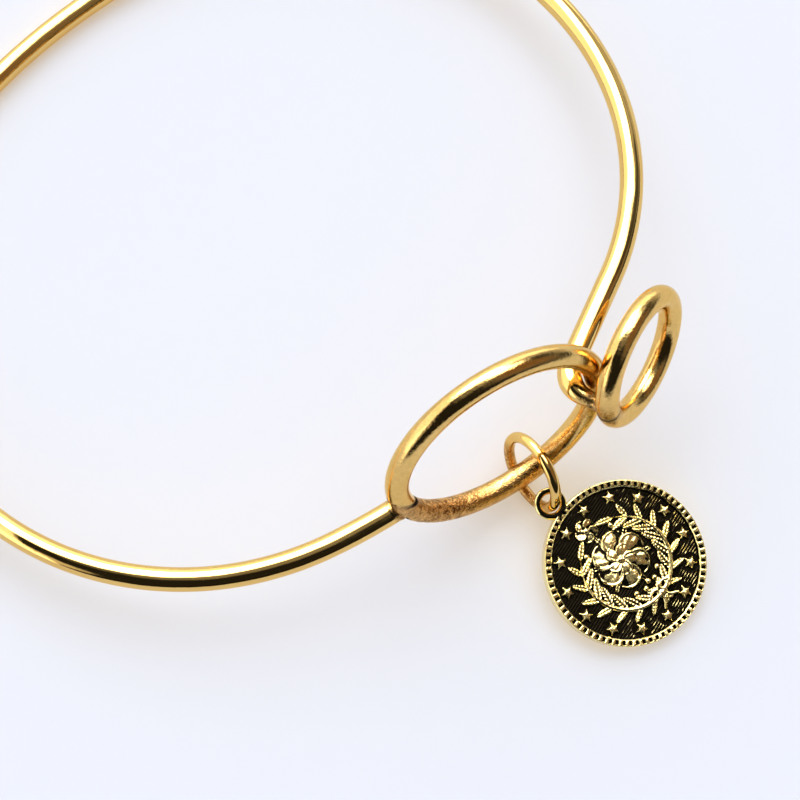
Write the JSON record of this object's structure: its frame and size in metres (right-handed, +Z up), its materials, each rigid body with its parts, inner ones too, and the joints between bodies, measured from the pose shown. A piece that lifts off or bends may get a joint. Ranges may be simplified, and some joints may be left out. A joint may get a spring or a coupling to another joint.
{
  "type": "hook bangle with coin charm",
  "caption": "Oval wire bangle closed by its bent end hooking round an end ring, with a relief coin charm on a jump ring.",
  "frame": {"origin": "on the table, under the middle of the whole piece", "axes": "+Z up from the table; the closure and the coin are towards -Y; the oval's long way is X"},
  "size_m": [0.0706, 0.0792, 0.0214],
  "materials": {
    "polished_gold": "polished gold plate on brass",
    "antiqued_gold": "gold plate, blackened in the recesses and rubbed bright on the relief"
  },
  "bodies": {
    "root": {"bangle": "polished_gold", "jump_ring": "polished_gold", "coin_charm": "antiqued_gold"}
  },
  "joints": []
}
